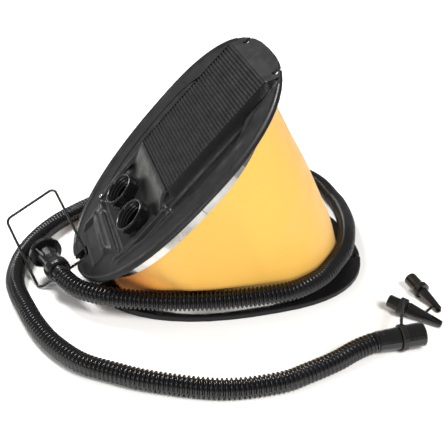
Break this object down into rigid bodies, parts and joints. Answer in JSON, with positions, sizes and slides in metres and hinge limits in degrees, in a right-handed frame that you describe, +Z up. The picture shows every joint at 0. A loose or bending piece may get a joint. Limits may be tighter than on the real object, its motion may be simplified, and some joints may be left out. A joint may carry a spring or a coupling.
{
  "type": "foot air pump",
  "caption": "Bellows foot air pump held open at 46 degrees, with its hose wrapped round the yellow cloth bellows, two nozzles on a strap and a wire storage clip.",
  "frame": {"origin": "on the floor under the middle of the base plate", "axes": "+X from the hinge to the open end, +Y across the pump to the side away from the hose's free end, +Z up"},
  "size_m": [0.4071, 0.4187, 0.2314],
  "materials": {
    "black_plastic": "satin moulded",
    "glossy_black": "glossy moulded",
    "band_steel": "bright",
    "clip_wire": "black gloss",
    "yellow_cloth": "coated cloth",
    "black_rubber": "satin"
  },
  "bodies": {
    "base": {"base_plate": "black_plastic", "lower_band": "band_steel", "lower_clasp": "band_steel", "hinge_pin": "band_steel", "bellows": "yellow_cloth", "return_spring": "band_steel", "port_fitting": "glossy_black", "hose_cuff": "glossy_black", "hose": "glossy_black", "end_cuff": "glossy_black", "nozzle_strap": "black_rubber", "nozzle_long": "glossy_black", "nozzle_short": "glossy_black"},
    "pedal": {"pedal_plate": "black_plastic", "hinge_block": "black_plastic", "upper_band": "band_steel", "upper_clasp": "band_steel", "outlet_port": "glossy_black", "inlet_port": "glossy_black", "outlet_seat": "black_plastic", "inlet_seat": "black_plastic", "plate_rivet": "band_steel"},
    "outlet_valve": {"outlet_flap": "black_rubber"},
    "inlet_valve": {"inlet_flap": "black_rubber"},
    "clip": {"storage_clip": "clip_wire"}
  },
  "joints": [
    {"name": "pedal_hinge", "type": "hinge", "parent": "base", "child": "pedal", "pos_m": [-0.138, 0, 0.0155], "axis": [0, 1, 0], "range_deg": [0, 33], "stiffness_Nm_per_rad": 4, "springref_deg": -45.84, "deforming": ["bellows", "return_spring"]},
    {"name": "outlet_flap_lift", "type": "slide", "parent": "pedal", "child": "outlet_valve", "axis": [-0.7193, 0, 0.6947], "range_m": [0, 0.0025], "stiffness_N_per_m": 20, "springref_m": -0.001},
    {"name": "inlet_flap_drop", "type": "slide", "parent": "pedal", "child": "inlet_valve", "axis": [0.7193, 0, -0.6947], "range_m": [0, 0.0025], "stiffness_N_per_m": 20, "springref_m": -0.001},
    {"name": "clip_swing", "type": "hinge", "parent": "base", "child": "clip", "pos_m": [-0.1961, -0.0025, 0.0005], "axis": [0.8579, -0.0393, 0.5124], "range_deg": [0, 50]}
  ]
}
